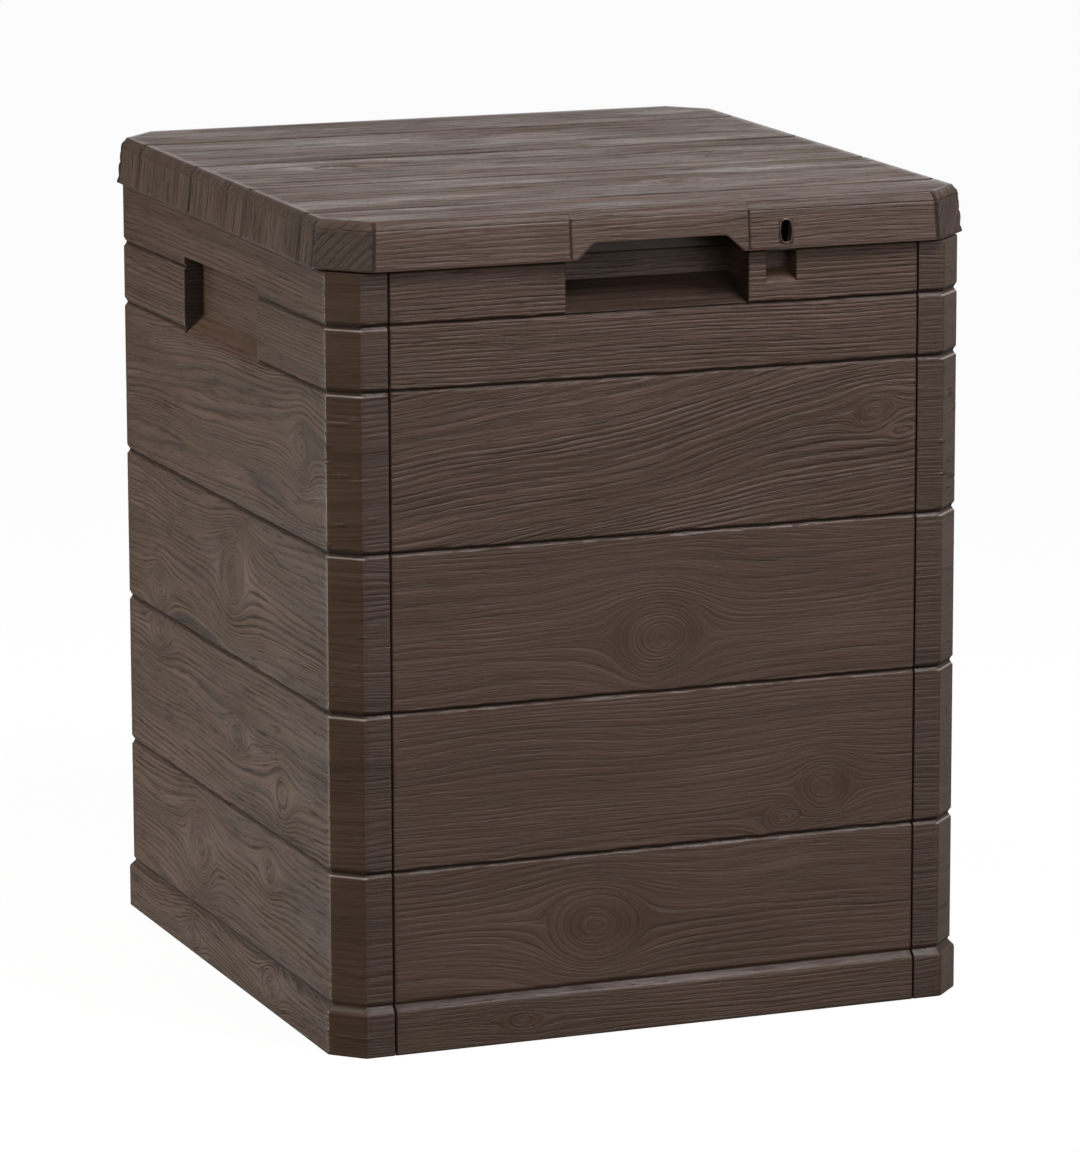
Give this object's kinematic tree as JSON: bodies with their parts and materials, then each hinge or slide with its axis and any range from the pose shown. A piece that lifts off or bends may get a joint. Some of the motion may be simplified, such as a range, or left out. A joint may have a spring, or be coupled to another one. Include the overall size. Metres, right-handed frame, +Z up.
{
  "type": "deck storage box",
  "caption": "Small upright deck storage box of moulded resin boards, with a sloped hinged lid, a front finger recess, side carrying recesses and a padlock pocket.",
  "frame": {"origin": "on the ground, under the middle of the box", "axes": "+X to the right seen from the front, +Y to the back, +Z up"},
  "size_m": [0.44, 0.452, 0.5335],
  "materials": {
    "board_resin": "embossed wood grain, satin",
    "plain_resin": "plain moulded, satin",
    "pin_resin": "smooth"
  },
  "bodies": {
    "box": {"left_side_panel": "board_resin", "right_side_panel": "board_resin", "front_panel": "board_resin", "back_panel": "board_resin", "floor_panel": "plain_resin", "hinge_pin_left": "pin_resin", "hinge_pin_right": "pin_resin"},
    "lid": {"lid": "board_resin"}
  },
  "joints": [
    {"name": "lid_hinge", "type": "hinge", "parent": "box", "child": "lid", "pos_m": [0, 0.211, 0.486], "axis": [-1, 0, 0], "range_deg": [0, 104]}
  ]
}
